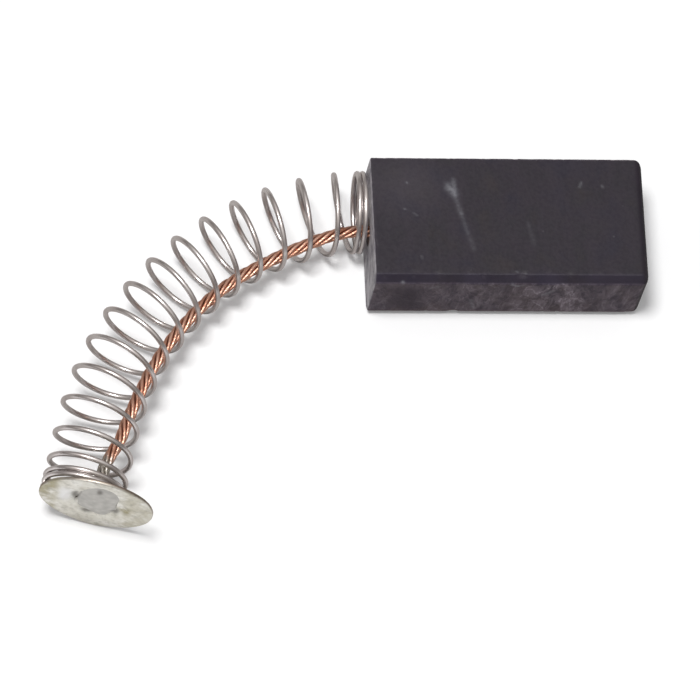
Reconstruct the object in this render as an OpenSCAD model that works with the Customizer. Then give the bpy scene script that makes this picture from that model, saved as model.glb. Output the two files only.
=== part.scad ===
// Carbon brush with a bent compression spring, a stranded copper shunt inside it and a staked terminal disc.
// Millimetres, +Z up.  The origin is the middle of the block's underside, +X runs towards the wear face,
// and the spring leaves the other end and bends round towards -Y while it lies on the table.

/* [Carbon block] */
// Length of the block, from the spring end to the wear face
block_l = 16.6; // [10:0.1:30]
// Width of the block
block_w = 8.1; // [7:0.1:12]
// Thickness of the block
block_t = 5; // [5:0.25:5.25]
// Chamfer along the two long edges of the front side
edge_chamfer = 0.45; // [0.2:0.05:0.8]
// Chamfer round the spring end
end_chamfer = 0.12; // [0.05:0.01:0.3]
// Radius of the rounded corners round the wear face
wear_radius = 0.5; // [0.1:0.05:0.8]
// Diameter of the hole that the shunt is tamped into
hole_d = 1.8; // [1.4:0.1:2]
// Depth of that hole
hole_depth = 4.2; // [3.8:0.1:6]

/* [Spring] */
// Diameter of the spring wire
wire_d = 0.32; // [0.3:0.02:0.4]
// Outer diameter of the coils
coil_od = 5.05; // [4.95:0.05:5.2]
// Turns of wire from end to end
turns = 18.3; // [17:0.1:19]
// Advance of one open turn along the axis
open_pitch = 1.93; // [1.8:0.01:1.96]
// Sideways offset of the coils from the middle of the block's end
coil_offset = 1.5; // [1:0.05:1.5]

/* [Copper shunt] */
// Diameter of one bundle of fine copper wires; six lie round a core bundle
bundle_d = 0.25; // [0.2:0.01:0.26]
// Length in which the bundles go once round the core
lay_length = 4.8; // [3.5:0.1:6]
// Length of shunt held in the block
shunt_depth = 3.6; // [3:0.1:3.7]

/* [Terminal] */
// Diameter of the terminal disc
disc_d = 6.9; // [6.6:0.1:7.5]
// Thickness of the terminal disc
disc_t = 0.25; // [0.2:0.05:0.5]
// Outer diameter of the eyelet's barrel, and of the disc's hole
barrel_d = 2; // [1.8:0.1:2]
// Wall of the eyelet
eyelet_wall = 0.2; // [0.15:0.05:0.25]
// Length of the eyelet's neck on the spring side of the disc
neck_l = 1.1; // [0.8:0.1:1.3]
// Diameter of the staked petals on the outer face
petal_d = 3; // [2.6:0.1:3.2]
// Offset of the disc from the coils, towards the inside of the bend
disc_offset = 0.9; // [0.6:0.05:0.9]

/* [Hidden] */
$fn = 64;
wire_r = wire_d / 2;
coil_r = coil_od / 2 - wire_r;
// Gap between coils that lie closed, and between the spring and what it bears on
seat_gap = 0.01;
closed_pitch = wire_d + seat_gap;
// Turns that lie closed and turns over which the pitch opens or closes, at the block and at the disc
closed_at_block = 1.25;
opening_turns = 1.2;
closing_turns = 2.9;
closed_at_disc = 1.2;
// The wire starts this part of a turn after the outermost point of the bend
start_turn = 0.7;
rings_per_turn = 20;
wire_sides = 8;

// Heading of the spring's axis, in degrees from -X towards -Y, at percentages of its length
bend = [[2.5, 0], [4, 5], [21, 22.5], [42, 42.5], [63, 59], [83, 75], [90, 77.5], [95, 76]];
// Slope of the axis above the table, in degrees, at percentages of its length
slope = [[0, 0], [28, 2.5], [70, 4], [95, -1.5]];
// How far the shunt lies inside the bend and below the axis, at percentages of the spring's length
shunt_inward = [[3, 1.2], [9, 1.33], [14, 1.58], [25, 1.76], [67, 1.77], [77, 1.71], [85, 1.5]];
shunt_below = [[3, 0.06], [11, 0.1], [25, 0.3], [67, 0.3], [85, 0.1]];

function eased(t) = let (c = min(max(t, 0), 1)) c * c * (3 - 2 * c);
function pitch(turn) = closed_pitch + (open_pitch - closed_pitch)
    * eased((turn - closed_at_block) / opening_turns)
    * (1 - eased((turn - turns + closed_at_disc + closing_turns) / closing_turns));

ring_count = round(turns * rings_per_turn);
// Distance along the axis of every ring of the spring wire
ring_s = [
    for (i = 0, s = wire_r + seat_gap / 2; i <= ring_count;
         i = i + 1, s = s + pitch((i - 0.5) / rings_per_turn) / rings_per_turn) s
];
spring_end = ring_s[ring_count] + wire_r + seat_gap / 2;

axis_step = 0.25;
axis_lead = 5;
axis_count = 160;

function heading(s) = lookup(100 * s / spring_end, bend);
function rise(s) = lookup(100 * s / spring_end, slope);
function along(s) = [-cos(heading(s)) * cos(rise(s)), -sin(heading(s)) * cos(rise(s)), sin(rise(s))];
function outward(s) = [-sin(heading(s)), cos(heading(s)), 0];
function upward(s) = cross(outward(s), along(s));

// Points of the spring's axis, every axis_step, from inside the block to past the disc
axis_points = [
    for (i = 0, p = [axis_lead - block_l / 2, coil_offset, coil_od / 2 + seat_gap];
         i <= axis_count;
         i = i + 1, p = p + axis_step * along((i - 0.5) * axis_step - axis_lead)) p
];
function on_axis(s) =
    let (k = (s + axis_lead) / axis_step, i = floor(k))
    axis_points[i] * (1 - k + i) + axis_points[i + 1] * (k - i);

function wire_ring(i) =
    let (s = ring_s[i],
         angle = 360 * (start_turn + i / rings_per_turn),
         radial = cos(angle) * outward(s) + sin(angle) * upward(s),
         around = cos(angle) * upward(s) - sin(angle) * outward(s),
         run = 2 * PI * coil_r * around + pitch(i / rings_per_turn) * along(s),
         across = cross(run, radial) / norm(run))
    [for (k = [0:wire_sides - 1])
        on_axis(s) + coil_r * radial
        + wire_r * (cos(360 * k / wire_sides) * radial + sin(360 * k / wire_sides) * across)];

// Axis of the disc: it stands on the table by its edge, square to the end of the spring
lean = rise(spring_end);
disc_foot = on_axis(spring_end) - disc_offset * outward(spring_end);
disc_centre = [disc_foot[0], disc_foot[1], disc_d / 2 * cos(lean) - disc_t * sin(min(lean, 0)) + seat_gap];
function on_disc_axis(s) = disc_centre + (s - spring_end) * along(spring_end);

// The shunt's centre line: it keeps to the inside of the bend, then eases onto the disc's axis
solder_climb = 0.45;
ease_length = 3;
function blended(s, table) =
    let (p = 100 * s / spring_end) (lookup(p - 3, table) + lookup(p, table) + lookup(p + 3, table)) / 3;
function in_bend(s) = on_axis(s) - blended(s, shunt_inward) * outward(s) - blended(s, shunt_below) * upward(s);
function shunt_centre(s) =
    let (w = eased((s - spring_end + neck_l + solder_climb + ease_length) / (ease_length - 0.3)))
    (1 - w) * in_bend(s) + w * on_disc_axis(s);
shunt_step = 0.5;
shunt_end = spring_end + 0.1;
shunt_rings = ceil((shunt_end + shunt_depth) / shunt_step);
bundle_sides = 6;
bundle_gap = 0.004;
shunt_r = 1.5 * bundle_d;
dish_depth = 0.1;
dish_r = petal_d / 2 + 0.15;

function bundle_ring(i, place) =
    let (s = -shunt_depth + i * (shunt_end + shunt_depth) / shunt_rings,
         run = shunt_centre(s + 0.1) - shunt_centre(s - 0.1),
         side = cross(run, [0, 0, 1]) / norm(cross(run, [0, 0, 1])),
         over = cross(run, side) / norm(run),
         twist = -360 * s / lay_length,
         lane = place == 0 ? 0 : bundle_d,
         angle = twist + 60 * place,
         corner_r = (bundle_d - bundle_gap) / 2)
    [for (k = [0:bundle_sides - 1])
        shunt_centre(s)
        + lane * (cos(angle) * side + sin(angle) * over)
        + corner_r * (cos(twist + 60 * k) * side + sin(twist + 60 * k) * over)];

// A closed solid through rings of points, each ring with the same number of points
module swept(rings) {
    m = len(rings[0]);
    last = (len(rings) - 1) * m;
    polyhedron(
        points = [for (ring = rings) each ring],
        faces = concat(
            [[for (k = [0:m - 1]) k]],
            [for (i = [0:len(rings) - 2], k = [0:m - 1]) let (a = i * m, b = (k + 1) % m)
                each [[a + k, a + m + k, a + b], [a + b, a + m + k, a + m + b]]],
            [[for (k = [m - 1:-1:0]) last + k]]),
        convexity = 10);
}

// Outline of a bar from the spring end (left) to the wear face (right), with the wear corners rounded
module bar_outline(width) {
    half = width / 2;
    x0 = -block_l / 2;
    x1 = block_l / 2 - wear_radius;
    polygon(concat(
        [[x0, -half + end_chamfer], [x0 + end_chamfer, -half]],
        [for (a = [-90:15:0]) [x1 + wear_radius * cos(a), wear_radius - half + wear_radius * sin(a)]],
        [for (a = [0:15:90]) [x1 + wear_radius * cos(a), half - wear_radius + wear_radius * sin(a)]],
        [[x0 + end_chamfer, half], [x0, half - end_chamfer]]));
}

// Section of the bar across its length, with the two front edges chamfered
module bar_section() {
    w = block_w / 2;
    t = block_t / 2;
    c = edge_chamfer;
    polygon([[-w, c - t], [c - w, -t], [w, -t], [w, t], [c - w, t], [-w, t - c]]);
}

// Places its children at the shunt's hole: z = 0 on the block's end, +z out of the block
module at_hole() {
    mouth = shunt_centre(0);
    translate([-block_l / 2, mouth[1], mouth[2]]) rotate([0, -90, 0]) children();
}

// Places its children on the disc: z = 0 on the face that the spring bears on, +z away from the spring,
// +y towards the inside of the bend
module at_disc() {
    translate(disc_centre) rotate([0, 90 - lean, 180 + heading(spring_end)]) children();
}

module carbon_block() {
    color("#3c393d") difference() {
        translate([0, 0, block_t / 2]) intersection() {
            translate([0, 0, -block_t]) linear_extrude(2 * block_t) bar_outline(block_w);
            rotate([90, 0, 0]) translate([0, 0, -block_w]) linear_extrude(2 * block_w) bar_outline(block_t);
            rotate([90, 0, 90]) translate([0, 0, -block_l]) linear_extrude(2 * block_l) bar_section();
        }
        at_hole() translate([0, 0, -hole_depth]) cylinder(h = hole_depth + 1, d = hole_d);
    }
}

// Powder tamped round the shunt: a plug with the shunt's own bore, dished a little at the mouth
module tamping_plug() {
    dish = 0.1;
    color("#4a4347") at_hole() rotate_extrude() polygon([
        [0, -hole_depth], [hole_d / 2, -hole_depth], [hole_d / 2, -dish / 2],
        [shunt_r, -dish], [shunt_r, -shunt_depth], [0, -shunt_depth]]);
}

module spring() {
    color("#8f8c88") swept([for (i = [0:ring_count]) wire_ring(i)]);
}

module shunt_bundle(place) {
    color("#b5683f") swept([for (i = [0:shunt_rings]) bundle_ring(i, place)]);
}

// Disc with bevelled edges and a shallow dish in its outer face, which takes the eyelet's petals
module terminal_disc() {
    bevel = 0.08;
    dish_wall = 0.3;
    color("#b5b09c") at_disc() rotate_extrude() polygon([
        [barrel_d / 2, 0], [disc_d / 2 - bevel, 0], [disc_d / 2, bevel],
        [disc_d / 2, disc_t - bevel], [disc_d / 2 - bevel, disc_t],
        [dish_r + dish_wall, disc_t], [dish_r, disc_t - dish_depth], [barrel_d / 2, disc_t - dish_depth]]);
}

// Gaps between the four petals, at slightly uneven angles
petal_t = 0.12;
floor_z = disc_t - dish_depth;
bore_r = barrel_d / 2 - eyelet_wall;
module petal_gaps() {
    gap_w = 0.34;
    for (a = [82, 178, 258, 336]) rotate([0, 0, a])
        translate([barrel_d / 2, -gap_w / 2, floor_z]) cube([petal_d, gap_w, 1]);
}

// Eyelet: a barrel with a collar on the spring side, spread into four petals in the disc's dish
module eyelet() {
    collar_r = barrel_d / 2 + 0.15;
    collar_t = 0.25;
    color("#a9a79f") at_disc() difference() {
        rotate_extrude() polygon([
            [bore_r, -neck_l], [barrel_d / 2, -neck_l], [barrel_d / 2, -collar_t], [collar_r, -collar_t],
            [collar_r, 0], [barrel_d / 2, 0], [barrel_d / 2, floor_z], [petal_d / 2, floor_z],
            [petal_d / 2, floor_z + petal_t / 2], [barrel_d / 2, floor_z + petal_t], [bore_r, floor_z + petal_t]]);
        petal_gaps();
    }
}

// Solder: it fills the eyelet, climbs round the shunt on one side, and on the other has run out over the petals
// in a low dome that leaves their gaps open
module solder() {
    dome = 0.14;
    pin_end = shunt_end - spring_end;
    spread_r = petal_d / 2 - 0.2;
    petal_z = floor_z + petal_t;
    spread_z = petal_z - petal_t / 2 * (spread_r - barrel_d / 2) / (petal_d / 2 - barrel_d / 2);
    color("#9d9c9a") at_disc() difference() {
        rotate_extrude() polygon(concat(
            [[shunt_r, -neck_l - solder_climb], [shunt_r + 0.06, -neck_l - solder_climb], [bore_r, -neck_l],
             [bore_r, petal_z], [barrel_d / 2, petal_z], [spread_r, spread_z]],
            [for (a = [0:10:90]) [spread_r * cos(a), spread_z + 0.02 + (petal_z + dome - spread_z - 0.02) * sin(a)]],
            [[0, pin_end], [shunt_r, pin_end]]));
        petal_gaps();
    }
}

carbon_block();
tamping_plug();
shunt_bundle(0);  // shunt_core_bundle
shunt_bundle(1);  // shunt_bundle_1
shunt_bundle(2);  // shunt_bundle_2
shunt_bundle(3);  // shunt_bundle_3
shunt_bundle(4);  // shunt_bundle_4
shunt_bundle(5);  // shunt_bundle_5
shunt_bundle(6);  // shunt_bundle_6
spring();
terminal_disc();
eyelet();
solder();
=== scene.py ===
import bpy
import numpy as np
from mathutils import Matrix, Vector


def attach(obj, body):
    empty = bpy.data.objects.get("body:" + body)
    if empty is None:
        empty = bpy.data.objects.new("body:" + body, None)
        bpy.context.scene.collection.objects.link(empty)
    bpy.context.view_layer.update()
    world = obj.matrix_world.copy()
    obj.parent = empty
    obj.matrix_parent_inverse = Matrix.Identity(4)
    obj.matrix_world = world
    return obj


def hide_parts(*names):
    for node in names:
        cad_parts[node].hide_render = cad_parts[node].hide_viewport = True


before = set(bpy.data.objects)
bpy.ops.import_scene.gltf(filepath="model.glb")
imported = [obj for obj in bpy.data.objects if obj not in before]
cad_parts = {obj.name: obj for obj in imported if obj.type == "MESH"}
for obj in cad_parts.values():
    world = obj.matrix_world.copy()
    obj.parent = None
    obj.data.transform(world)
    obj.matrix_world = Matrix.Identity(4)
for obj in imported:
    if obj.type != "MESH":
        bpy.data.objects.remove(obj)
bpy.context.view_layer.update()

# ---------------------------------------------------------------- sizes, as in the part's source

BLOCK_L, BLOCK_W, BLOCK_T = 16.6, 8.1, 5.0
EDGE_CHAMFER, END_CHAMFER, WEAR_RADIUS = 0.45, 0.12, 0.5
HOLE_D, HOLE_DEPTH = 1.8, 4.2
WIRE_R, COIL_OD, TURNS, OPEN_PITCH = 0.16, 5.05, 18.3, 1.93
COIL_OFFSET, SEAT_GAP, START_TURN = 1.5, 0.01, 0.7
CLOSED_AT_BLOCK, OPENING, CLOSING, CLOSED_AT_DISC = 1.25, 1.2, 2.9, 1.2
BUNDLE_D, LAY, SHUNT_DEPTH = 0.25, 4.8, 3.6
DISC_D, DISC_T, BARREL_D, WALL, NECK = 6.9, 0.25, 2.0, 0.2, 1.1
PETAL_D, DISC_OFFSET, DISH = 3.0, 0.9, 0.1
SOLDER_CLIMB, EASE_LENGTH = 0.45, 3
SHUNT_R = 1.5 * BUNDLE_D
COIL_R = COIL_OD / 2 - WIRE_R
BARREL_R, PETAL_R = BARREL_D / 2, PETAL_D / 2
BORE_R = BARREL_R - WALL
FLOOR_Z = DISC_T - DISH
TAU = 2 * np.pi
MM = 0.001

# Stations in percent of the spring's length: heading and slope of its axis in degrees, place of the shunt in mm
BEND = [[2.5, 0], [4, 5], [21, 22.5], [42, 42.5], [63, 59], [83, 75], [90, 77.5], [95, 76]]
SLOPE = [[0, 0], [28, 2.5], [70, 4], [95, -1.5]]
SHUNT_INWARD = [[3, 1.2], [9, 1.33], [14, 1.58], [25, 1.76], [67, 1.77], [77, 1.71], [85, 1.5]]
SHUNT_BELOW = [[3, 0.06], [11, 0.1], [25, 0.3], [67, 0.3], [85, 0.1]]


# ---------------------------------------------------------------- helpers for shapes

def eased(t):
    """A smooth step: 3c^2 - 2c^3, where c is t held between 0 and 1."""
    c = np.clip(t, 0, 1)
    return c * c * (3 - 2 * c)


def unit(v):
    """The same direction with a length of 1: a vector over the square root of the sum of its squares."""
    return v / np.linalg.norm(v, axis=-1, keepdims=True)


def blotch(p, size, seed):
    """Smooth random blotches of about that size, from -1 to 1: random numbers on a cubic lattice, eased between its
    corners."""
    lattice = np.random.default_rng(seed).uniform(-1, 1, (32, 32, 32))
    q = p / size + 1000.0
    cell = np.floor(q).astype(int)
    f = eased(q - cell)
    total = 0
    for corner in np.ndindex(2, 2, 2):
        k = (cell + corner) % 32
        weight = np.prod(np.where(corner, f, 1 - f), axis=-1)
        total = total + weight * lattice[k[..., 0], k[..., 1], k[..., 2]]
    return total


def near_line(p, a, b, width):
    """1 on the segment from a to b and falling off as a bell curve of that width."""
    a, b = np.array(a, float), np.array(b, float)
    along = np.clip((p - a) @ (b - a) / max((b - a) @ (b - a), 1e-9), 0, 1)
    gap = np.linalg.norm(p - a - along[..., None] * (b - a), axis=-1)
    return np.exp(-((gap / width) ** 2))


def skin(name, grid, material, ends="fan", attributes=None):
    """A closed skin over a grid of points in mm. The columns run round and close on themselves.

    ends "fan" closes the first and last row to their middle points, and "loop" joins the last row to the first.
    Faces are turned outwards by the sign of the volume: a sixth of the sum of a . (b x c) over the triangles.
    """
    rows, cols = grid.shape[:2]
    i = np.arange(rows if ends == "loop" else rows - 1)[:, None]
    j = np.arange(cols)[None, :]
    here, there, step = i * cols, (i + 1) % rows * cols, (j + 1) % cols
    quads = np.stack([here + j, here + step, there + step, there + j], -1).reshape(-1, 4)
    points = grid.reshape(-1, 3)
    tris = np.zeros((0, 3), int)
    values = {k: np.asarray(v, float).reshape(rows * cols, -1) for k, v in (attributes or {}).items()}
    if ends == "fan":
        first, last = rows * cols, rows * cols + 1
        points = np.concatenate([points, grid[:1].mean(1), grid[-1:].mean(1)])
        k = np.arange(cols)
        nxt = (k + 1) % cols
        base = (rows - 1) * cols
        tris = np.concatenate([np.stack([k * 0 + first, nxt, k], -1),
                               np.stack([k * 0 + last, base + k, base + nxt], -1)])
        values = {k: np.concatenate([v, v[:cols].mean(0)[None], v[-cols:].mean(0)[None]]) for k, v in values.items()}
    a, b, c, d = (points[quads[:, n]] for n in range(4))
    volume = (a * (np.cross(b, c) + np.cross(c, d))).sum()
    if len(tris):
        volume += (points[tris[:, 0]] * np.cross(points[tris[:, 1]], points[tris[:, 2]])).sum()
    if volume < 0:
        quads, tris = quads[:, ::-1], tris[:, ::-1]
    corners = np.concatenate([quads.ravel(), tris.ravel()])
    starts = np.concatenate([np.arange(len(quads)) * 4, len(quads) * 4 + np.arange(len(tris)) * 3])
    mesh = bpy.data.meshes.new(name)
    mesh.vertices.add(len(points))
    mesh.vertices.foreach_set("co", (points * MM).astype(np.float32).ravel())
    mesh.loops.add(len(corners))
    mesh.loops.foreach_set("vertex_index", corners.astype(np.int32))
    mesh.polygons.add(len(starts))
    mesh.polygons.foreach_set("loop_start", starts.astype(np.int32))
    mesh.polygons.foreach_set("use_smooth", np.ones(len(starts), bool))
    mesh.update(calc_edges=True)
    for key, v in values.items():
        kind = "FLOAT_VECTOR" if v.shape[1] == 3 else "FLOAT"
        layer = mesh.attributes.new(key, kind, "POINT")
        layer.data.foreach_set("vector" if v.shape[1] == 3 else "value", v.astype(np.float32).ravel())
    mesh.validate()
    piece = bpy.data.objects.new(name, mesh)
    bpy.context.scene.collection.objects.link(piece)
    mesh.materials.append(material)
    return piece


def place(piece, slot, *nodes):
    """The piece rides on the one body and stands for those CAD nodes; the slot is not used."""
    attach(piece, "root")
    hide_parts(*nodes)


# ---------------------------------------------------------------- helpers for materials

def srgb(code):
    """A colour written as sRGB hex, in linear values: the curve of the sRGB standard."""
    c = np.array([int(code[k:k + 2], 16) for k in (1, 3, 5)]) / 255
    return (*np.where(c <= 0.04045, c / 12.92, ((c + 0.055) / 1.055) ** 2.4), 1.0)


def add(tree, kind, inputs=None, stops=None, **settings):
    """One node: its settings, its inputs and a ramp's stops. An input is a value, a hex colour or the output that
    feeds it."""
    n = tree.nodes.new("ShaderNode" + kind)
    for key, value in settings.items():
        setattr(n, key, value)
    for key, value in (inputs or {}).items():
        if isinstance(value, bpy.types.NodeSocket):
            tree.links.new(value, n.inputs[key])
        else:
            n.inputs[key].default_value = srgb(value) if isinstance(value, str) else value
    for k, (where, value) in enumerate(stops or []):
        e = n.color_ramp.elements
        stop = e[k] if k < len(e) else e.new(where)
        stop.position = where
        stop.color = srgb(value) if isinstance(value, str) else (value, value, value, 1)
    return n


def material_of(name):
    """A material with nothing in its tree yet."""
    m = bpy.data.materials.new(name)
    m.use_nodes = True
    m.node_tree.nodes.clear()
    return m, m.node_tree


def finish_of(name, **even):
    """A material with one Principled shader, and the values that are even over the whole piece."""
    m, tree = material_of(name)
    shader = add(tree, "BsdfPrincipled", even)
    add(tree, "OutputMaterial", {"Surface": shader.outputs[0]})
    return m, tree, shader


def spotted(tree, where, size_mm, low, high, detail=3.0, rough=0.55, distortion=0.0):
    """Noise with features of a real size, spread over a ramp from 0 to 1 between two of its levels."""
    noise = add(tree, "TexNoise", {"Vector": where, "Scale": 1 / (size_mm * MM), "Detail": detail, "Roughness": rough,
                                   "Distortion": distortion})
    return add(tree, "ValToRGB", {"Fac": noise.outputs["Fac"]}, [(low, 0.0), (high, 1.0)]).outputs["Color"]


def painted(tree, ground, *coats):
    """Coats over a ground colour, one after another: each is a mask, how much of it shows, and the coat's colour."""
    for mask, much, colour in coats:
        amount = add(tree, "Math", {0: mask, 1: much}, operation="MULTIPLY").outputs[0]
        ground = add(tree, "Mix", {"Factor": amount, 6: ground, 7: colour}, data_type="RGBA").outputs[2]
    return ground


# ---------------------------------------------------------------- materials

def carbon_graphite():
    """Pressed and baked carbon-graphite: near-black with a purple cast and a soft sheen from the flakes. The ground top
    and underside are even with faint marks across, and the sides are granular and mottled, with a warm light band
    along the front's foot that is partly rubbed and partly a painted reflection of the table. The spring's end face is
    painted pale and mottled: a painted highlight for the light it catches from the left."""
    m, t, shader = finish_of("carbon_graphite", Roughness=0.6, IOR=1.4)
    at = add(t, "TexCoord").outputs["Object"]
    mark = {name: add(t, "Attribute", attribute_name=name).outputs["Fac"]
            for name in ("sawn", "spring_end", "land", "chip", "scuff", "torn", "foot", "stain", "dust")}
    # ground faces: tints in blotches of about 2.4 mm, 420 to the metre, and wheel marks that run across the bar, drawn
    # 0.6 mm wide
    cloud = add(t, "TexNoise", {"Vector": at, "Scale": 420.0, "Detail": 4.0})
    tint = add(t, "ValToRGB", {"Fac": cloud.outputs["Fac"]},
               [(0.34, "#181322"), (0.47, "#1f1822"), (0.56, "#1b161f"), (0.68, "#221b1f")]).outputs["Color"]
    across = add(t, "Mapping", {"Vector": at, "Scale": (1, 0.2, 0.2)}).outputs[0]
    wheel = spotted(t, across, 0.6, 0.34, 0.7, 4.0, 0.65)
    ground = painted(t, tint, (wheel, 0.4, "#2b232e"), (mark["dust"], 1, "#3d373e"))
    # the sides: grains of the pressed powder, drawn upward by the press, 0.2 to 0.8 mm wide, and pale swirls where it
    # has torn
    drawn = add(t, "Mapping", {"Vector": at, "Scale": (1, 1, 0.45)}).outputs[0]
    grain = add(t, "TexVoronoi", {"Vector": drawn, "Scale": 1 / (0.3 * MM)}, feature="F1").outputs["Distance"]
    fine = spotted(t, drawn, 0.22, 0.38, 0.64, 2.0, 0.6)
    clump = spotted(t, drawn, 0.8, 0.42, 0.6, 4.0, 0.75, 0.8)
    broad = spotted(t, drawn, 1.6, 0.4, 0.6, 3.0)
    wave = add(t, "TexNoise", {"Vector": drawn, "Scale": 1 / (2.0 * MM), "Detail": 4.0, "Roughness": 0.62,
                               "Distortion": 1.4})
    level = add(t, "Math", {0: wave.outputs["Fac"], 1: 0.5}, operation="SUBTRACT")
    ridge = add(t, "Math", {0: level.outputs[0]}, operation="ABSOLUTE")
    swirl = add(t, "ValToRGB", {"Fac": ridge.outputs[0]}, [(0.0, 1.0), (0.04, 0.0)]).outputs["Color"]
    torn_clump = add(t, "Math", {0: mark["torn"], 1: clump}, operation="MULTIPLY").outputs[0]
    clumps = add(t, "Math", {0: mark["torn"], 1: 0.3, 2: 0.22}, operation="MULTIPLY_ADD").outputs[0]
    swirls = add(t, "Math", {0: torn_clump, 1: 0.5, 2: 0.08}, operation="MULTIPLY_ADD").outputs[0]
    side = painted(t, "#322836",
                   (broad, 1, "#43373d"),
                   (fine, 0.42, "#5a4f58"),
                   (clump, clumps, "#7d727b"),
                   (swirl, swirls, "#9b909a"),
                   # a warm light band along the front's foot: partly rubbed, partly a painted reflection of the table
                   (mark["foot"], 1, "#86706a"),
                   (mark["stain"], 1, "#2d2230"))
    # the spring's end face is painted pale in patches, a painted highlight for the light it catches from the left;
    # flecks of filler are about 0.1 mm wide and seldom
    pale = painted(t, "#76737a", (spotted(t, at, 0.9, 0.35, 0.62, 4.0, 0.65), 1, "#b0adb1"))
    fleck = add(t, "TexVoronoi", {"Vector": at, "Scale": 1 / (1.6 * MM)}, feature="F1").outputs["Distance"]
    dots = add(t, "ValToRGB", {"Fac": fleck}, [(0.0, 1.0), (0.06, 0.0)]).outputs["Color"]
    # the rubbed chamfer is smoother and darker; chipped edges and scuffs show paler carbon
    rub = spotted(t, at, 0.22, 0.3, 0.62, 4.0, 0.65)
    rubbed = add(t, "Math", {0: rub, 1: 0.6, 2: 0.4}, operation="MULTIPLY_ADD").outputs[0]
    colour = painted(t, ground,
                     (mark["sawn"], 1, side),
                     # the spring's end face painted pale: a painted highlight for the light it catches from the left
                     (mark["spring_end"], 0.95, pale),
                     (dots, 0.25, "#6b6a6e"),
                     (mark["land"], 0.7, "#363040"),
                     (mark["chip"], 0.3, "#554f55"),
                     (mark["scuff"], rubbed, "#85858b"))
    gloss = add(t, "Math", {0: fine, 1: 0.12, 2: 0.54}, operation="MULTIPLY_ADD").outputs[0]
    gloss = add(t, "Math", {0: mark["sawn"], 1: 0.1, 2: gloss}, operation="MULTIPLY_ADD").outputs[0]
    gloss = add(t, "Math", {0: mark["land"], 1: -0.08, 2: gloss}, operation="MULTIPLY_ADD").outputs[0]
    relief = add(t, "Math", {0: grain, 1: 1.4}, operation="MULTIPLY").outputs[0]
    relief = add(t, "Math", {0: swirl, 1: 0.6, 2: relief}, operation="MULTIPLY_ADD").outputs[0]
    height = add(t, "Math", {0: fine, 1: 0.12}, operation="MULTIPLY").outputs[0]
    height = add(t, "Math", {0: relief, 1: mark["sawn"], 2: height}, operation="MULTIPLY_ADD").outputs[0]
    bump = add(t, "Bump", {"Strength": 0.5, "Distance": 0.04 * MM, "Height": height})
    t.links.new(colour, shader.inputs["Base Color"])
    t.links.new(gloss, shader.inputs["Roughness"])
    t.links.new(bump.outputs[0], shader.inputs["Normal"])
    return m


def tamped_powder():
    """Silvered copper powder tamped round the shunt: dark brown-grey, matt, with small bright grains."""
    m, t, shader = finish_of("tamped_copper_powder", Roughness=0.75)
    at = add(t, "TexCoord").outputs["Object"]
    grain = spotted(t, at, 0.1, 0.4, 0.65, 2.0)
    bump = add(t, "Bump", {"Strength": 0.8, "Distance": 0.03 * MM, "Height": grain})
    t.links.new(painted(t, "#3a3033", (grain, 1, "#6f5a4e")), shader.inputs["Base Color"])
    t.links.new(bump.outputs[0], shader.inputs["Normal"])
    return m


def spring_steel():
    """Drawn spring steel wire: silver-grey with a warm cast, fine lines along the wire, and a thin brown oil film in
    places."""
    m, t, shader = finish_of("drawn_spring_steel", Metallic=1.0, Roughness=0.3)
    # the straightened wire is measured in mm: die lines, drawn 0.06 mm wide so that they show, and film in patches of
    # about 2.2 mm
    straight = add(t, "Attribute", attribute_name="straight").outputs["Vector"]
    drawn = add(t, "Mapping", {"Vector": straight, "Scale": (1, 1, 0.03)}).outputs[0]
    lines = add(t, "TexNoise", {"Vector": drawn, "Scale": 16.0, "Detail": 3.0}).outputs["Fac"]
    patches = add(t, "TexNoise", {"Vector": straight, "Scale": 0.45, "Detail": 3.0}).outputs["Fac"]
    film = add(t, "ValToRGB", {"Fac": patches}, [(0.38, "#cec6c4"), (0.6, "#e4dfde")]).outputs["Color"]
    bump = add(t, "Bump", {"Strength": 0.25, "Distance": 0.006 * MM, "Height": lines})
    t.links.new(painted(t, film, (lines, 0.3, "#aba2a0")), shader.inputs["Base Color"])
    gloss = add(t, "Math", {0: lines, 1: 0.18, 2: 0.2}, operation="MULTIPLY_ADD").outputs[0]
    t.links.new(gloss, shader.inputs["Roughness"])
    t.links.new(bump.outputs[0], shader.inputs["Normal"])
    return m


def bare_copper():
    """Soft bare copper strand: orange-pink where it is bright, with painted shade in the grooves between the fine wires
    and on the side of each bundle that faces the rope's core, and grey where solder has wicked up from the eyelet."""
    m, t, shader = finish_of("bare_copper_strand", Metallic=1.0, Roughness=0.3)
    mark = {name: add(t, "Attribute", attribute_name=name).outputs["Fac"] for name in ("groove_shade", "valley_shade", "wicked")}
    # the straightened bundle is measured in mm: tarnish in patches of about 1.1 mm, and lines 0.04 mm wide
    straight = add(t, "Attribute", attribute_name="straight").outputs["Vector"]
    patches = add(t, "TexNoise", {"Vector": straight, "Scale": 0.9, "Detail": 4.0}).outputs["Fac"]
    tarnish = add(t, "ValToRGB", {"Fac": patches}, [(0.35, "#d0967c"), (0.62, "#e5baa5")]).outputs["Color"]
    # painted shade: darker in the grooves between the fine wires and on each bundle's side towards the rope's core
    colour = painted(t, tarnish,
                     (mark["groove_shade"], 0.3, "#945b4b"),
                     (mark["valley_shade"], 1, "#935f4d"),
                     (mark["wicked"], 1, "#aaa49c"))
    drawn = add(t, "Mapping", {"Vector": straight, "Scale": (1, 1, 0.05)}).outputs[0]
    lines = add(t, "TexNoise", {"Vector": drawn, "Scale": 24.0, "Detail": 2.0}).outputs["Fac"]
    t.links.new(colour, shader.inputs["Base Color"])
    gloss = add(t, "Math", {0: lines, 1: 0.2, 2: 0.3}, operation="MULTIPLY_ADD").outputs[0]
    t.links.new(gloss, shader.inputs["Roughness"])
    return m


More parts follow.
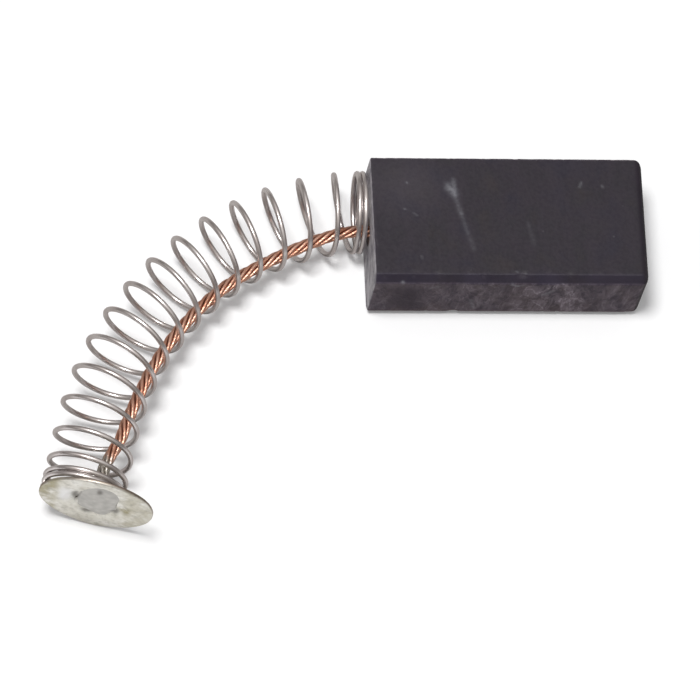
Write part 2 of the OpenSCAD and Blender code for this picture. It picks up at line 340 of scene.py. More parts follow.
def tinned_brass():
    """Stamped brass with a thin matt tin coat: grey-cream, with olive-yellow stains where the brass comes through, a
    near-white patch of painted highlight on the face, and painted shade over the gaps between the petals and at the
    dish's step.
    """
    m, t, shader = finish_of("tinned_brass", Metallic=1.0, Roughness=0.42)
    at = add(t, "TexCoord").outputs["Object"]
    mark = {name: add(t, "Attribute", attribute_name=name).outputs["Fac"]
            for name in ("olive", "painted_highlight_patch", "rim", "shade_marks")}
    coat = painted(t, "#d8d5cd", (spotted(t, at, 0.9, 0.35, 0.65, 4.0, 0.6), 1, "#edebe5"))
    worn_and_painted_light = painted(t, coat,
                   (mark["olive"], spotted(t, at, 1.2, 0.36, 0.56, 4.0, 0.65), "#a69e80"),
                   (spotted(t, at, 0.4, 0.5, 0.72, 3.0), 0.4, "#8c887a"),
                   # a near-white patch on the face: a painted highlight
                   (mark["painted_highlight_patch"], 1, "#e6e5e4"),
                   (mark["rim"], 0.8, "#7c6558"),
                   # dark marks over the gaps between the petals and a ring at the dish's step: painted shade
                   (mark["shade_marks"], 0.85, "#6c6862"))
    patch = spotted(t, at, 0.5, 0.3, 0.7, 4.0, 0.6)
    bump = add(t, "Bump", {"Strength": 0.35, "Distance": 0.02 * MM, "Height": patch})
    t.links.new(worn_and_painted_light, shader.inputs["Base Color"])
    gloss = add(t, "Math", {0: patch, 1: 0.2, 2: 0.34}, operation="MULTIPLY_ADD").outputs[0]
    t.links.new(gloss, shader.inputs["Roughness"])
    t.links.new(bump.outputs[0], shader.inputs["Normal"])
    return m


def eyelet_brass():
    """Tinned eyelet: a little smoother and greyer than the disc, with painted shade over the gaps between its petals.
    """
    m, t, shader = finish_of("tinned_eyelet", Metallic=1.0, Roughness=0.36)
    at = add(t, "TexCoord").outputs["Object"]
    shade_marks = add(t, "Attribute", attribute_name="shade_marks").outputs["Fac"]
    # the dark marks over the gaps between the petals are painted shade
    coat = painted(t, "#cbc8bf", (spotted(t, at, 0.6, 0.35, 0.65, 4.0), 1, "#dedbd3"), (shade_marks, 0.85, "#6c6862"))
    t.links.new(coat, shader.inputs["Base Color"])
    patch = spotted(t, at, 0.3, 0.3, 0.7, 3.0)
    gloss = add(t, "Math", {0: patch, 1: 0.2, 2: 0.28}, operation="MULTIPLY_ADD").outputs[0]
    t.links.new(gloss, shader.inputs["Roughness"])
    return m


def soft_solder():
    """Tin-lead solder, slowly cooled: an even dull grey with a faint crystal mottle."""
    m, t, shader = finish_of("soft_solder", Metallic=1.0, Roughness=0.45)
    at = add(t, "TexCoord").outputs["Object"]
    shade_marks = add(t, "Attribute", attribute_name="shade_marks").outputs["Fac"]
    crystal = add(t, "TexVoronoi", {"Vector": at, "Scale": 1 / (0.35 * MM)}, feature="SMOOTH_F1").outputs["Distance"]
    bump = add(t, "Bump", {"Strength": 0.15, "Distance": 0.02 * MM, "Height": crystal})
    # the dark marks over the gaps between the petals are painted shade
    tone = painted(t, "#bebbb6", (crystal, 1, "#a9a7a3"), (shade_marks, 0.85, "#6a6661"))
    t.links.new(tone, shader.inputs["Base Color"])
    gloss = add(t, "Math", {0: crystal, 1: 0.2, 2: 0.36}, operation="MULTIPLY_ADD").outputs[0]
    t.links.new(gloss, shader.inputs["Roughness"])
    t.links.new(bump.outputs[0], shader.inputs["Normal"])
    return m


# ---------------------------------------------------------------- the spring's axis, as in the part's source

def read_at(stations, percent):
    """The value at a percentage of the spring's length, on straight lines between the stations."""
    s = np.array(stations, float)
    return np.interp(percent, s[:, 0], s[:, 1])


def pitch(turn):
    """Advance of a turn along the axis: closed at both ends, open between, eased from one to the other."""
    closed = 2 * WIRE_R + SEAT_GAP
    opened = eased((turn - CLOSED_AT_BLOCK) / OPENING)
    closing = eased((turn - TURNS + CLOSED_AT_DISC + CLOSING) / CLOSING)
    return closed + (OPEN_PITCH - closed) * opened * (1 - closing)


# Rings of the wire: the turn and the distance along the axis of each, as a running sum of the pitch
RINGS = 60
wire_turn = np.arange(round(TURNS * RINGS) + 1) / RINGS
wire_s = WIRE_R + SEAT_GAP / 2 + np.concatenate([[0], np.cumsum(pitch(wire_turn[1:] - 0.5 / RINGS) / RINGS)])
SPRING_END = wire_s[-1] + WIRE_R + SEAT_GAP / 2


def frame_at(s):
    """Unit vectors of the axis at distances s: along it, outward from the bend, and upward. The heading and slope are
    read from the stations by percent of the spring's length."""
    h = np.radians(read_at(BEND, 100 * s / SPRING_END))
    r = np.radians(read_at(SLOPE, 100 * s / SPRING_END))
    along = np.stack([-np.cos(h) * np.cos(r), -np.sin(h) * np.cos(r), np.sin(r)], -1)
    outward = np.stack([-np.sin(h), np.cos(h), 0 * h], -1)
    return along, outward, np.cross(outward, along)


# Places on the axis: the running sum of its direction, in small steps from inside the block to past the disc
AXIS_STEP, AXIS_LEAD, AXIS_REACH = 0.05, 5, 35
axis_s = np.arange(-AXIS_LEAD, AXIS_REACH, AXIS_STEP)
axis_start = np.array([AXIS_LEAD - BLOCK_L / 2, COIL_OFFSET, COIL_OD / 2 + SEAT_GAP])
axis_steps = np.cumsum(AXIS_STEP * frame_at(axis_s[1:] - AXIS_STEP / 2)[0], axis=0)
axis_points = axis_start + np.concatenate([np.zeros((1, 3)), axis_steps])


def on_axis(s):
    """The point of the axis at each distance, on straight lines between its small steps."""
    return np.stack([np.interp(s, axis_s, axis_points[:, k]) for k in range(3)], -1)


# The disc stands on the table by its rim, square to the end of the spring
end_along, end_outward, _ = (v[0] for v in frame_at(np.array([SPRING_END])))
lean = np.arcsin(end_along[2])
disc_foot = on_axis(np.array([SPRING_END]))[0] - DISC_OFFSET * end_outward
disc_centre = np.array([disc_foot[0], disc_foot[1],
                        DISC_D / 2 * np.cos(lean) - DISC_T * min(np.sin(lean), 0) + SEAT_GAP])


def shunt_centre(s):
    """The shunt's centre line: inside the bend and a little low, then eased onto the disc's axis."""
    s = np.asarray(s, float)
    along, outward, upward = frame_at(s)
    p = 100 * s / SPRING_END
    inward, below = (sum(read_at(t, p + d) for d in (-3, 0, 3)) / 3 for t in (SHUNT_INWARD, SHUNT_BELOW))
    inside = on_axis(s) - inward[..., None] * outward - below[..., None] * upward
    w = eased((s - SPRING_END + NECK + SOLDER_CLIMB + EASE_LENGTH) / (EASE_LENGTH - 0.3))[..., None]
    return (1 - w) * inside + w * (disc_centre + (s - SPRING_END)[..., None] * end_along)


# Axes of the disc: out of its outer face, up, and towards the inside of the bend
disc_out = end_along
disc_up = unit(np.array([0, 0, 1.0]) - disc_out[2] * disc_out)
disc_in = -end_outward


def on_disc(r, angle, z):
    """Points on the disc: its centre, plus radius * (cosine * inward + sine * upward), plus height * outward. The
    angle is 0 towards the inside of the bend and a quarter turn upward, and the height is over the inner face."""
    r, angle, z = np.broadcast_arrays(r, angle, z)
    return (disc_centre + (r * np.cos(angle))[..., None] * disc_in + (r * np.sin(angle))[..., None] * disc_up
            + z[..., None] * disc_out)


# ---------------------------------------------------------------- carbon block

# Radii of the bar's long edges: the two at the back, and the four of the front's chamfers
BACK_EDGE_R, FRONT_EDGE_R = 0.07, 0.12


def bar_section(inset):
    """The bar's outline across its length, for each inset: flats facing back, up, up and front, front, down and front,
    and down, at half the width or thickness less the inset, joined by small arcs. The points have the shape (insets,
    around, 2)."""
    turn = np.radians([0, 90, 135, 180, 225, 270])
    normal = np.stack([np.cos(turn), np.sin(turn)], -1)
    chamfer = (BLOCK_W / 2 + BLOCK_T / 2 - EDGE_CHAMFER) / np.sqrt(2)
    # each flat: its distance from the middle, how much of the inset it takes, and the points along it
    flat = [(BLOCK_W / 2, 1, 62), (BLOCK_T / 2, 1, 112), (chamfer, 0.95, 9), (BLOCK_W / 2, 1, 56), (chamfer, 0.95, 9),
            (BLOCK_T / 2, 1, 112)]
    corner = [BACK_EDGE_R, *[FRONT_EDGE_R] * 4, BACK_EDGE_R]
    outline = []
    for k, radius in enumerate(corner):
        n = (k + 1) % 6
        pair = np.linalg.inv(np.stack([normal[k], normal[n]]))
        reach = np.stack([flat[m][0] - inset * flat[m][1] - radius for m in (k, n)], -1)
        sweep = turn[k] + np.linspace(0, (turn[n] - turn[k]) % TAU, 6)
        outline.append((reach @ pair.T)[:, None] + radius * np.stack([np.cos(sweep), np.sin(sweep)], -1))
    points = []
    for k in range(6):
        before, after = outline[k - 1], outline[k]
        w = np.linspace(0, 1, flat[k][2])[1:-1, None]
        points += [before, before[:, -1:] * (1 - w) + after[:, :1] * w]
    return np.concatenate(points, 1)


def block_skin():
    """The block is one outline carried along X. It starts at the bottom of the shunt's hole, comes out along the wall,
    crosses the spring end from the hole's circle to the outline, turns over the end's chamfer, runs the length, and
    turns in over the wear end's radius to the middle of the wear face."""
    x0, x1 = -BLOCK_L / 2, BLOCK_L / 2
    ease = np.linspace(0, np.pi / 2, 5)
    wear = np.linspace(0, np.pi / 2, 11)
    length = np.linspace(x0 + END_CHAMFER, x1 - WEAR_RADIUS, 180)
    xs = np.concatenate([x0 + END_CHAMFER * (1 - np.cos(ease)), length[1:-1],
                         x1 - WEAR_RADIUS + WEAR_RADIUS * np.sin(wear)])
    inset = np.concatenate([END_CHAMFER * (1 - np.sin(ease)), 0 * length[1:-1], WEAR_RADIUS * (1 - np.cos(wear))])
    section = bar_section(inset)
    outer = np.concatenate([np.broadcast_to(xs[:, None, None], section.shape[:2] + (1,)), section], -1)
    mouth = np.array([x0, *shunt_centre(np.array([0.0]))[0, 1:]])
    mouth[2] -= BLOCK_T / 2
    angle = np.arctan2(outer[0, :, 2] - mouth[2], outer[0, :, 1] - mouth[1])
    circle = np.stack([0 * angle, np.cos(angle), np.sin(angle)], -1)
    wall = [mouth + np.array([depth, 0, 0]) + (HOLE_D / 2 + flare) * circle
            for depth, flare in ((HOLE_DEPTH, 0), (2.0, 0), (0.6, 0), (0.25, 0), (0.08, 0), (0.03, 0.012),
                                 (0.0, 0.05))]
    face = [wall[-1] * (1 - w) + outer[0] * w for w in np.linspace(0, 1, 18)[1:-1]]
    end = [outer[-1] * (1 - w) + (outer[-1].mean(0) * w) for w in np.linspace(0, 0.97, 22)[1:]]
    grid = np.concatenate([np.array(wall), np.array(face), outer, np.array(end)])
    grid[..., 2] += BLOCK_T / 2
    return grid


# Middle of the shunt's hole, seen from the spring end
HOLE_Y, HOLE_Z = 0.3, 2.5

# Rubs and knocks, each from one place to another with a width and a strength: a light rub with a thin tail and a few
# knocks on the upper face, then one on the chamfer and some along the front
UP, FRONT = BLOCK_T, -BLOCK_W / 2
SCUFFS = [
    ((-3.6, 2.2, UP), (-3.3, 1.7, UP), 0.24, 0.42), ((-3.3, 2.6, UP), (-3.25, 2.0, UP), 0.14, 0.3),
    ((-3.75, 2.0, UP), (-3.5, 2.05, UP), 0.12, 0.25), ((-3.3, 1.75, UP), (-2.95, 0.4, UP), 0.15, 0.25),
    ((-2.95, 0.4, UP), (-2.6, -0.9, UP), 0.13, 0.16), ((-2.5, -1.2, UP), (-2.3, -1.9, UP), 0.16, 0.13),
    ((-6.13, 2.38, UP), (-6.13, 2.4, UP), 0.07, 0.5), ((-6.4, 0.66, UP), (-6.3, 0.66, UP), 0.06, 0.3),
    ((-5.81, 0.4, UP), (-5.62, 0.25, UP), 0.06, 0.25), ((-5.46, -2.42, UP), (-5.46, -2.55, UP), 0.06, 0.25),
    ((5.76, 2.28, UP), (5.8, 2.2, UP), 0.08, 0.3), ((4.5, 2.5, UP), (4.38, 2.2, UP), 0.08, 0.3),
    ((1.1, -0.2, UP), (1.4, -1.6, UP), 0.12, 0.08), ((0.2, -3.4, UP), (0.3, -3.45, UP), 0.07, 0.2),
    ((-6.64, -3.98, 4.58), (-6.64, -3.98, 4.62), 0.09, 0.9), ((0.0, FRONT, 4.5), (0.35, FRONT, 4.3), 0.1, 0.55),
    ((0.35, FRONT, 4.3), (0.75, FRONT, 4.45), 0.07, 0.4), ((-2.2, FRONT, 2.2), (-1.9, FRONT, 1.0), 0.12, 0.3),
    ((-4.9, FRONT, 3.9), (-4.4, FRONT, 4.2), 0.12, 0.25), ((2.1, FRONT, 3.0), (2.6, FRONT, 3.6), 0.16, 0.35),
]


def block_marks(grid):
    """Chipped edges and the masks for the finish. An edge is where the skin turns: two of the four distances to the
    flats are small. Chips are blotches that pass a level there, and they sink towards the middle of the bar."""
    x, y, z = grid[..., 0], grid[..., 1], grid[..., 2]
    chamfer = (BLOCK_W / 2 + BLOCK_T / 2 - EDGE_CHAMFER + y - np.abs(z - BLOCK_T / 2)) / np.sqrt(2)
    side = np.stack([BLOCK_L / 2 - np.abs(x), BLOCK_W / 2 - np.abs(y), BLOCK_T / 2 - np.abs(z - BLOCK_T / 2),
                     chamfer], -1)
    near = np.sort(np.abs(side), -1)[..., 1]
    clear = np.hypot(y - HOLE_Y, z - HOLE_Z) >= HOLE_D / 2 + 0.3
    at_edge = np.exp(-((near / 0.16) ** 2)) * clear
    chips = np.clip(blotch(grid, 0.6, 3) - 0.52, 0, 1) + 0.3 * np.clip(blotch(grid, 0.25, 4) - 0.5, 0, 1)
    chip = np.clip(at_edge * chips * 2.4, 0, 1)
    ripple = 0.012 * blotch(grid, 0.35, 6) + 0.008 * blotch(grid, 0.16, 7)
    sawn = eased((np.abs(y) - BLOCK_W / 2 + 0.1) / 0.09)
    ends = eased((np.abs(x) - BLOCK_L / 2 + 0.05) / 0.04)
    spring_end = ends * (x < 0)
    from_middle = unit(grid - np.stack([x * 0.8, 0 * y, 0 * z + BLOCK_T / 2], -1))
    sunk = 0.1 * chip + np.maximum(ripple, 0) * np.clip(sawn + at_edge, 0, 1)
    moved = grid - from_middle * sunk[..., None] * clear[..., None]

    stain_x = (x + 6.2 + 0.3 * blotch(grid, 1.0, 10)) / 0.95
    masks = {
        "chip": chip,
        "sawn": sawn * (1 - ends) + spring_end,
        "land": np.exp(-((chamfer / 0.06) ** 2)) * (1 - ends) * (0.6 + 0.4 * blotch(grid, 1.2, 8)),
        "scuff": sum(much * near_line(grid, a, b, width) for a, b, width, much in SCUFFS),
        "spring_end": spring_end,
        "torn": np.exp(-((x - 2.6 + 0.6 * blotch(grid, 2.0, 9)) / 1.7) ** 2) * (y < 0) + 0.25,
        # a warm light band along the front's foot: partly rubbed, partly a painted reflection of the table
        "foot": 0.8 * np.exp(-((z - 0.34) / 0.2) ** 2) * (y < -3.6) * (0.8 + 0.2 * blotch(grid, 0.8, 13)),
        "dust": 0.5 * np.exp(-((x + 6.2) / 2.2) ** 2 - ((y - 2.3) / 1.8) ** 2),
        "stain": 0.8 * np.exp(-stain_x ** 4 - ((z - 2.4) / 1.7) ** 4) * (y < -3.9),
    }
    return moved, {name: mask if name == "torn" else np.clip(mask, 0, 1) for name, mask in masks.items()}


grid, masks = block_marks(block_skin())
place(skin("carbon_block_skin", grid, carbon_graphite(), attributes=masks), "carbon", "carbon_block")


# ---------------------------------------------------------------- tamped powder round the shunt

def plug_skin(around=96):
    """A turned plug: its mouth rises from the shunt to the hole's wall, roughened by blotches of 0.1 mm."""
    mouth = np.array([-BLOCK_L / 2, *shunt_centre(np.array([0.0]))[0, 1:]])
    r = np.concatenate([[0.02, 0.2], np.linspace(SHUNT_R - 0.02, HOLE_D / 2 - 0.01, 14),
                        [HOLE_D / 2 - 0.005, HOLE_D / 2 - 0.01, 0.4]])
    x = np.concatenate([[1.0, 1.0], 0.1 - 0.05 * np.linspace(0, 1, 14) ** 2,
                        [0.3, HOLE_DEPTH - 0.1, HOLE_DEPTH - 0.05]])
    a = np.linspace(0, TAU, around, endpoint=False)
    p = np.stack(np.broadcast_arrays(x[:, None], r[:, None] * np.cos(a), r[:, None] * np.sin(a)), -1) + mouth
    rough = 0.025 * blotch(p, 0.14, 11) + 0.02 * blotch(p, 0.3, 12)
    p[..., 0] += rough * ((r > 0.3) & (x < 0.25))[:, None]
    return p


place(skin("tamped_powder", plug_skin(), tamped_powder()), "tamping_powder", "tamping_plug")


# ---------------------------------------------------------------- spring

# Round-over of the wire's cropped ends: how far each ring lies from the tip's face, and its share of the wire's radius
CROP = [(0.0, 0.55), (0.015, 0.86), (0.035, 1.0)]


def spring_skin(sides=24):
    """A round wire carried along the coil: centre = axis + coil radius * radial, and round it wire radius * (cosine *
    radial + sine * across), where across is square to the radial and to the run of the wire. Both ends are cropped
    with a small round-over."""
    along, outward, upward = frame_at(wire_s)
    angle = TAU * (START_TURN + wire_turn)[:, None]
    radial = np.cos(angle) * outward + np.sin(angle) * upward
    around = np.cos(angle) * upward - np.sin(angle) * outward
    run = unit(TAU * COIL_R * around + pitch(wire_turn)[:, None] * along)
    across = np.cross(run, radial)
    centre = on_axis(wire_s) + COIL_R * radial
    a = np.linspace(0, TAU, sides, endpoint=False)
    ring = np.cos(a)[None, :, None] * radial[:, None] + np.sin(a)[None, :, None] * across[:, None]
    first = [centre[0] + run[0] * depth + WIRE_R * share * ring[0] for depth, share in CROP]
    last = [centre[-1] - run[-1] * depth + WIRE_R * share * ring[-1] for depth, share in CROP[::-1]]
    grid = np.array([*first, *(centre[:, None] + WIRE_R * ring)[1:-1], *last])
    length = np.linspace(0, TURNS * TAU * COIL_R, len(grid))
    straight = np.stack(np.broadcast_arrays(WIRE_R * np.cos(a)[None], WIRE_R * np.sin(a)[None], length[:, None]), -1)
    return grid, {"straight": straight}


grid, masks = spring_skin()
place(skin("spring_wire", grid, spring_steel(), attributes=masks), "spring_steel", "spring")


# ---------------------------------------------------------------- copper shunt

# Length in which a bundle turns once about itself, and the depth of the grooves between its wires as a share of its
# radius
BUNDLE_LAY, GROOVE = 3.1, 0.07


def bundle_skin(place_in_lay, sides=44, wires=11):
    """A bundle of fine wires in the rope: its centre runs round the rope's core once in each lay length, and its
    outline is a circle with a lobe for each outer wire, r = R - g (1 - |cos|), which itself turns the other way."""
    s = np.linspace(-SHUNT_DEPTH, SPRING_END + 0.1, 380)
    run = unit(shunt_centre(s + 0.1) - shunt_centre(s - 0.1))
    side = unit(np.cross(run, [0, 0, 1.0]))
    over = np.cross(run, side)
    twist = -TAU * s / LAY
    lane = BUNDLE_D if place_in_lay else 0.0
    lay = twist + np.pi / 3 * place_in_lay
    drift = 0.012 * np.sin(s * 1.7 + 2.1 * place_in_lay) if place_in_lay else 0 * s
    centre = shunt_centre(s) + (lane + drift)[:, None] * (np.cos(lay)[:, None] * side + np.sin(lay)[:, None] * over)
    a = np.linspace(0, TAU, sides, endpoint=False)[None, :]
    own = a + (TAU * s / BUNDLE_LAY + place_in_lay)[:, None]
    lobe = np.abs(np.cos(wires / 2 * a))
    r = (BUNDLE_D / 2 - 0.002) * (1 - GROOVE * (1 - lobe))
    ring = np.cos(own)[..., None] * side[:, None] + np.sin(own)[..., None] * over[:, None]
    grid = centre[:, None] + r[..., None] * ring
    straight = np.stack(np.broadcast_arrays(0.12 * np.cos(a), 0.12 * np.sin(a), s[:, None] + 40.0 * place_in_lay), -1)
    # painted shade: the grooves between the fine wires and the side of each bundle that faces the rope's core; the
    # hidden core bundle is darkened all over
    groove_shade = (1 - lobe) ** 1.5 + 0 * own
    wicked = eased((s[:, None] + 0.25 * np.sin(own + s[:, None]) - SPRING_END + 3.3) / 0.8) + 0 * own
    valley_shade = (0.8 * eased((0.7 - np.cos(own - lay[:, None])) / 0.9) if place_in_lay else 0.8) + 0 * own
    return grid, {"straight": straight, "groove_shade": groove_shade, "wicked": wicked, "valley_shade": valley_shade}


copper = bare_copper()
for k in range(7):
    grid, masks = bundle_skin(k)
    node = f"shunt_bundle_{k}" if k else "shunt_core_bundle"
    place(skin(node + "_wires", grid, copper, attributes=masks), "copper", node)


# ---------------------------------------------------------------- terminal disc, eyelet and solder

# The four gaps between the staked petals, with painted shade over them: place and half size on the disc, inward and
# upward
GAPS = [(1.22, -0.5, 0.24, 0.5), (0.09, 2.25, 0.17, 0.34), (-1.3, 0.66, 0.22, 0.78), (-0.42, -1.42, 0.38, 0.28)]
# Where the rim has been knocked low: its depth, and its angle and half width in radians
KNOCK_DEPTH, KNOCK_ANGLE, KNOCK_HALF = 0.14, -2.2, 0.5
# The collar that seats the eyelet on the inner face, and the dish that takes its petals
COLLAR_W, COLLAR_T = 0.15, 0.25
DISH_R = PETAL_R + 0.15
# Where the solder has run out past its round middle: angle and half width in radians, and reach
RUNS = [(1.45, 0.72, 1.75), (-1.15, 0.45, 0.4)]


def turned(angle, start):
    """How far an angle lies from another, in radians between minus half a turn and half a turn."""
    return np.angle(np.exp(1j * (angle - start)))


def gap_at(angle, half=0.15):
    """1 in the gaps between petals, 0 on them: a bell curve in the angle about each gap."""
    return sum(np.exp(-((turned(angle, np.arctan2(v, u)) / half) ** 4)) for u, v, _, _ in GAPS)


def gap_marks_at(u, v):
    """1 in the middle of the marks over the gaps, and 0 away from them: a bell curve over an ellipse for each."""
    return sum(np.exp(-((((u - gu) / su) ** 2 + ((v - gv) / sv) ** 2) ** 1.5)) for gu, gv, su, sv in GAPS)


def round_corner(a, b, c, r, n=5):
    """Points of an arc of radius r between the lines from a to b and from b to c."""
    a, b, c = (np.array(v, float) for v in (a, b, c))
    u, w = unit(a - b), unit(c - b)
    half = np.arccos(np.clip(u @ w, -1, 1)) / 2
    back = r / np.tan(half)
    centre = b + unit(u + w) * r / np.sin(half)
    p, q = b + u * back - centre, b + w * back - centre
    t = np.linspace(0, 1, n)[:, None]
    return list(centre + r * unit(p * (1 - t) + q * t))


def rounded(points, radii, n=5, fill=0.12):
    """A closed profile with its corners turned in arcs, and points along the long straights between them."""
    out = []
    for k, b in enumerate(points):
        arc = round_corner(points[k - 1], b, points[(k + 1) % len(points)], radii[k], n)
        if out:
            gap = np.linalg.norm(arc[0] - out[-1])
            m = int(gap / fill)
            out += [out[-1] * (1 - t) + arc[0] * t for t in (np.arange(1, m) / m if m > 1 else [])]
        out += arc
    return np.array(out)


def disc_skin(around=240):
    """The stamped disc: a closed profile turned about its axis. The faces wave by a few hundredths of a millimetre, and
    the rim is a little out of round, most where it has been knocked low on its outer side."""
    rim_r = DISC_D / 2
    profile = rounded([(BARREL_R, 0), (rim_r, 0), (rim_r, DISC_T), (DISH_R + 0.3, DISC_T), (DISH_R, FLOOR_Z),
                       (BARREL_R, FLOOR_Z)], [0.03, 0.09, 0.1, 0.12, 0.1, 0.03])
    a = np.linspace(0, TAU, around, endpoint=False)[None, :]
    r, z = profile[:, :1], profile[:, 1:]
    p = on_disc(r, a, z)
    wave = 0.018 * blotch(p, 1.6, 21) + 0.008 * blotch(p, 0.6, 22)
    z = z + wave * eased((r - 1.2) / 1.5) * (r < 3.42)
    knock = KNOCK_DEPTH * np.exp(-((turned(a, KNOCK_ANGLE) / KNOCK_HALF) ** 2))
    r = r - knock * eased((r - 2.4) / 0.9) - 0.012 * (1 + blotch(p, 1.1, 23)) * eased((r - 3.2) / 0.2)

    u, v = r * np.cos(a), r * np.sin(a)
    # painted shade: a dark ring where the face steps down into the dish
    ring = 0.3 * np.exp(-(((r - 1.7) / 0.08) ** 2)) * eased(blotch(p, 0.9, 25))
    masks = {
        "rim": eased((r - 3.28) / 0.14) * eased(0.5 + 0.9 * blotch(p, 1.4, 24)) * eased((0.21 - z) / 0.08),
        # painted shade: dark marks over the gaps between the petals, and the ring at the dish's step
        "shade_marks": (gap_marks_at(u, v) + ring) * (z > 0.1),
        "olive": 0.2 + 0.7 * eased((-u - 2.1) / 0.6) + 0.3 * eased((u - 1.2) / 0.8)
                 + 0.9 * np.exp(-((u - 1.75) / 0.3) ** 2 - (v / 0.4) ** 2),
        # a near-white patch on the face, left of the solder: a painted highlight
        "painted_highlight_patch": np.exp(-((u + 1.88) / 0.38) ** 4 - ((v - 0.5) / 1.0) ** 4),
    }
    return on_disc(r, a, z), {name: np.clip(mask, 0, 1) for name, mask in masks.items()}


grid, masks = disc_skin()
place(skin("terminal_disc_skin", grid, tinned_brass(), ends="loop", attributes=masks), "tinned_brass", "terminal_disc")


def eyelet_skin(around=240):
    """The eyelet: a turned barrel with a collar, spread into a flange whose edge is drawn in at four gaps."""
    collar_r = BARREL_R + COLLAR_W
    profile = rounded([(BORE_R, -NECK), (BARREL_R, -NECK), (BARREL_R, -COLLAR_T), (collar_r, -COLLAR_T),
                       (collar_r, 0.0), (BARREL_R, 0.0), (BARREL_R, FLOOR_Z), (PETAL_R, FLOOR_Z),
                       (PETAL_R, FLOOR_Z + 0.07), (BARREL_R, FLOOR_Z + 0.13), (BORE_R, FLOOR_Z + 0.1)],
                      [0.05, 0.06, 0.03, 0.05, 0.03, 0.01, 0.01, 0.02, 0.03, 0.15, 0.06], 4)
    a = np.linspace(0, TAU, around, endpoint=False)[None, :]
    r, z = profile[:, :1], profile[:, 1:]
    outside = z > FLOOR_Z - 0.03
    spread = np.clip((r - BARREL_R) / (PETAL_R - BARREL_R), 0, 1) * outside
    edge = PETAL_R - 0.2 - 0.15 * gap_at(a) - 0.03 * (1 + np.sin(3 * a + 1))
    r = np.where(spread > 0, BARREL_R + (edge - BARREL_R) * spread, r + 0 * a)
    z = z - 0.03 * gap_at(a) * spread
    # painted shade: dark marks over the gaps between the petals
    return on_disc(r, a, z), {"shade_marks": gap_marks_at(r * np.cos(a), r * np.sin(a)) * (z > FLOOR_Z - 0.03)}


grid, masks = eyelet_skin()
place(skin("eyelet_skin", grid, eyelet_brass(), ends="loop", attributes=masks), "eyelet_metal", "eyelet")


def solder_skin(around=240):
    """The solder: a low dome that has spread over the petals to an uneven edge, a thin foot under it, the filled barrel
    and a cone where it has climbed the shunt."""
    a = np.linspace(0, TAU, around, endpoint=False)[None, :]
    edge = 1.13 + 0.03 * np.sin(3 * a + 0.6) + 0.03 * np.sin(5 * a + 2.0)
    for towards, half, reach in RUNS:
        edge = edge + reach * np.exp(-((turned(a, towards) / half) ** 2))
    # the dome: a share t of the way to the edge, where it comes down to the petals, the dish or the disc's face
    t = np.linspace(0.02, 1, 40)[:, None]
    dome_r = edge * t
    seat = 0.11 * (1 - eased((edge - 1.28) / 0.08)) + DISH * eased((edge - 1.65) / 0.3)
    dome_z = FLOOR_Z + 0.125 + 0.12 * (1 - t ** 2) ** 0.8 - (0.135 - seat) * eased((t - 0.88) / 0.12)
    over_gaps = gap_marks_at(dome_r * np.cos(a), dome_r * np.sin(a))
    dome_z = dome_z - 0.035 * over_gaps * (1 - eased((t - 0.8) / 0.15))
    # under the edge, down the bore and out of the neck, just clear of the eyelet
    neck_r = BORE_R - 0.03
    barrel_r = np.array([BORE_R, BORE_R - 0.02, BORE_R - 0.02, neck_r])[:, None]
    barrel_z = np.array([FLOOR_Z - 0.02, FLOOR_Z + 0.05, -0.4, -NECK + 0.02, -NECK - 0.02])[:, None]
    # the cone along the shunt, closed under its tip
    climb = np.linspace(0, 1, 9)[1:, None]
    cone_r = neck_r - (neck_r - SHUNT_R - 0.03) * climb ** 0.6
    cone_z = -NECK - 0.02 - SOLDER_CLIMB * climb
    r = np.concatenate([dome_r, 0.96 * edge, barrel_r + 0 * a, cone_r + 0 * a, 0.15 + 0 * a])
    z = np.concatenate([dome_z, barrel_z + 0 * a, cone_z + 0 * a, cone_z[-1:] + 0.05 + 0 * a])
    z = z + 0.012 * blotch(on_disc(r, a, z), 0.5, 31) * (z > FLOOR_Z)
    # painted shade: dark marks over the gaps between the petals
    return on_disc(r, a, z), {"shade_marks": np.clip(gap_marks_at(r * np.cos(a), r * np.sin(a)), 0, 1) * (z > FLOOR_Z)}


grid, masks = solder_skin()
place(skin("solder_skin", grid, soft_solder(), attributes=masks), "solder", "solder")


# ---------------------------------------------------------------- floor, light and camera

def white_table():
    """A plain white table: matt white with its shadows, lifted a little to the camera. In reflections it is dimmer
    round the coils, where it lies in their shade, and white in front of the disc."""
    m, t = material_of("white_table")
    path = add(t, "LightPath")
    at = add(t, "TexCoord").outputs["Object"]
    ahead = add(t, "VectorMath", {0: at, 1: tuple(disc_out)}, operation="DOT_PRODUCT").outputs["Value"]
    face = (disc_centre @ disc_out + DISC_T) * MM
    clear = add(t, "MapRange", {"Value": ahead, "From Min": face, "From Max": face + 0.8 * MM}).outputs[0]
    mirrored = painted(t, "#b8b5b2", (clear, 1, "#efefef"))
    tone = painted(t, "#efefef", (path.outputs["Is Glossy Ray"], 1, mirrored))
    matt = add(t, "BsdfDiffuse", {"Color": tone})
    lift = add(t, "Math", {0: path.outputs["Is Camera Ray"], 1: 0.13}, operation="MULTIPLY").outputs[0]
    glow = add(t, "Emission", {"Color": "#ffffff", "Strength": lift})
    both = add(t, "AddShader", {0: matt.outputs[0], 1: glow.outputs[0]})
    add(t, "OutputMaterial", {"Surface": both.outputs[0]})
    return m


FLOOR_HALF, FLOOR_DROP = 1200 * MM, 0.01 * MM
floor_mesh = bpy.data.meshes.new("floor")
floor_mesh.from_pydata([(x * FLOOR_HALF, y * FLOOR_HALF, -FLOOR_DROP) for x, y in ((-1, -1), (1, -1), (1, 1), (-1, 1))],
                       [], [(0, 1, 2, 3)])
floor_mesh.materials.append(white_table())
floor = bpy.data.objects.new("floor", floor_mesh)
bpy.context.scene.collection.objects.link(floor)

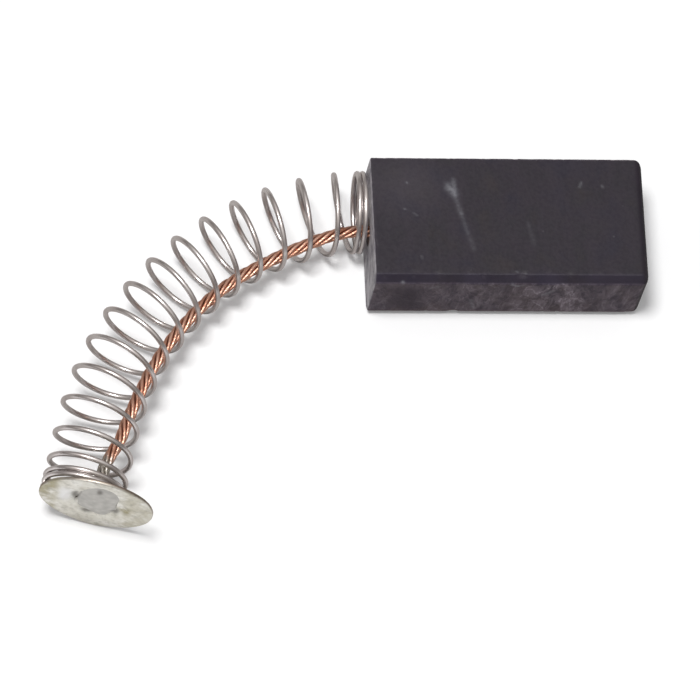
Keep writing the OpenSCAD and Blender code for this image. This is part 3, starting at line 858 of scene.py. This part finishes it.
# The room: white to the camera, and grey light on the object, brighter overhead than at the horizon
world = bpy.data.worlds.new("room")
bpy.context.scene.world = world
world.use_nodes = True
room = world.node_tree
room.nodes.clear()
height = add(room, "SeparateXYZ", {0: add(room, "TexCoord").outputs["Generated"]}).outputs["Z"]
grey = add(room, "ValToRGB", {"Fac": height}, [(0.0, "#6a6765"), (0.35, "#8c8a89"), (1.0, "#b2b3b5")])
mirrored = add(room, "ValToRGB", {"Fac": height},
               [(0.0, "#75716e"), (0.4, "#95918e"), (0.75, "#dad7d3"), (1.0, "#e6e4e0")])
path = add(room, "LightPath")
white = painted(room, grey.outputs["Color"],
                (path.outputs["Is Glossy Ray"], 1, mirrored.outputs["Color"]),
                (path.outputs["Is Camera Ray"], 1, "#ffffff"))
sky = add(room, "Background", {"Color": white, "Strength": 1.0})
add(room, "OutputWorld", {"Surface": sky.outputs[0]})


def lamp(name, towards, distance, size, level, colour):
    """An area lamp that lights a level surface under it as much as a white sky of that level: the power is
    level * pi^2 * distance^2 / cos, for the lamp's angle from straight up."""
    data = bpy.data.lights.new(name, "AREA")
    data.shape, data.size, data.color = "DISK", size, srgb(colour)[:3]
    way = unit(np.array(towards, float))
    data.energy = level * np.pi ** 2 * distance ** 2 / way[2]
    o = bpy.data.objects.new(name, data)
    o.location = way * distance + np.array([-0.01, -0.008, 0])
    o.rotation_euler = Vector(way).to_track_quat("Z", "Y").to_euler()
    bpy.context.scene.collection.objects.link(o)


lamp("key", (-0.22, -0.02, 1.0), 0.6, 0.16, 0.76, "#ffffff")

# The camera looks from its spot to its aim, both in metres, and is rolled a little about its line of sight
CAMERA_SPOT, CAMERA_AIM = np.array([-0.0607, -0.1604, 0.3643]), np.array([-0.00974, -0.00749, 0.0025])
CAMERA_ROLL = np.radians(17.18)
camera_data = bpy.data.cameras.new("camera")
camera_data.lens, camera_data.sensor_width = 340.3, 36
camera = bpy.data.objects.new("camera", camera_data)
sight = unit(CAMERA_AIM - CAMERA_SPOT)
level_right = unit(np.cross(sight, [0, 0, 1.0]))
right = np.cos(CAMERA_ROLL) * level_right + np.sin(CAMERA_ROLL) * np.cross(level_right, sight)
turn = np.stack([right, np.cross(right, sight), -sight], 1)
camera.matrix_world = Matrix([*((*row, at) for row, at in zip(turn, CAMERA_SPOT)), (0, 0, 0, 1)])
bpy.context.scene.collection.objects.link(camera)
bpy.context.scene.camera = camera
bpy.context.scene.view_settings.view_transform = "Standard"
